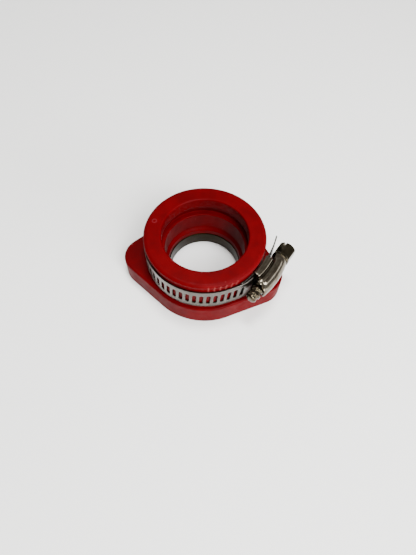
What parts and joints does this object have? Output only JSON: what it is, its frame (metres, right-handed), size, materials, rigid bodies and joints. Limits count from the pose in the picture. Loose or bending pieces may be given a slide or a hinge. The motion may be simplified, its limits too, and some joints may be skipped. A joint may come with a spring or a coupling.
{
  "type": "rubber pipe coupling with flange and band clamp",
  "caption": "Moulded rubber coupling: two-ear flange on a bonded metal plate, stepped socket, and a perforated worm-drive band clamp in the collar's groove.",
  "frame": {"origin": "on the duct axis, in the flange's mating face", "axes": "+Z along the duct axis towards the collar's mouth, +X along the line of the two ears"},
  "size_m": [0.0837, 0.0606, 0.0318],
  "materials": {
    "rubber": "moulded, satin red",
    "plate_metal": "turned, dull passivated",
    "band_steel": "rolled stainless, bright",
    "housing_steel": "pressed stainless, polished",
    "screw_steel": "machined and rolled stainless"
  },
  "bodies": {
    "coupling": {"rubber_body": "rubber", "flange_plate": "plate_metal"},
    "clamp": {"clamp_band": "band_steel", "clamp_saddle": "band_steel", "clamp_housing": "housing_steel"},
    "screw": {"worm_screw": "screw_steel"},
    "tail": {"band_tail": "band_steel"}
  },
  "joints": [
    {"name": "clamp_turn", "type": "hinge", "parent": "coupling", "child": "clamp", "pos_m": [0, 0, 0.02005], "axis": [0, 0, 1], "continuous": true},
    {"name": "screw_turn", "type": "hinge", "parent": "clamp", "child": "screw", "pos_m": [0.03018, -0.01407, 0.02005], "axis": [-0.4226, -0.9063, 0], "range_deg": [-720, 720]},
    {"name": "tail_feed", "type": "hinge", "parent": "clamp", "child": "tail", "pos_m": [-0.02639, 0.01617, 0.02005], "axis": [0, 0, 1], "range_deg": [-6.1, 6.1]}
  ],
  "couplings": [
    {"joint": "tail_feed", "follows": "screw_turn", "ratio": 0.0083765}
  ]
}
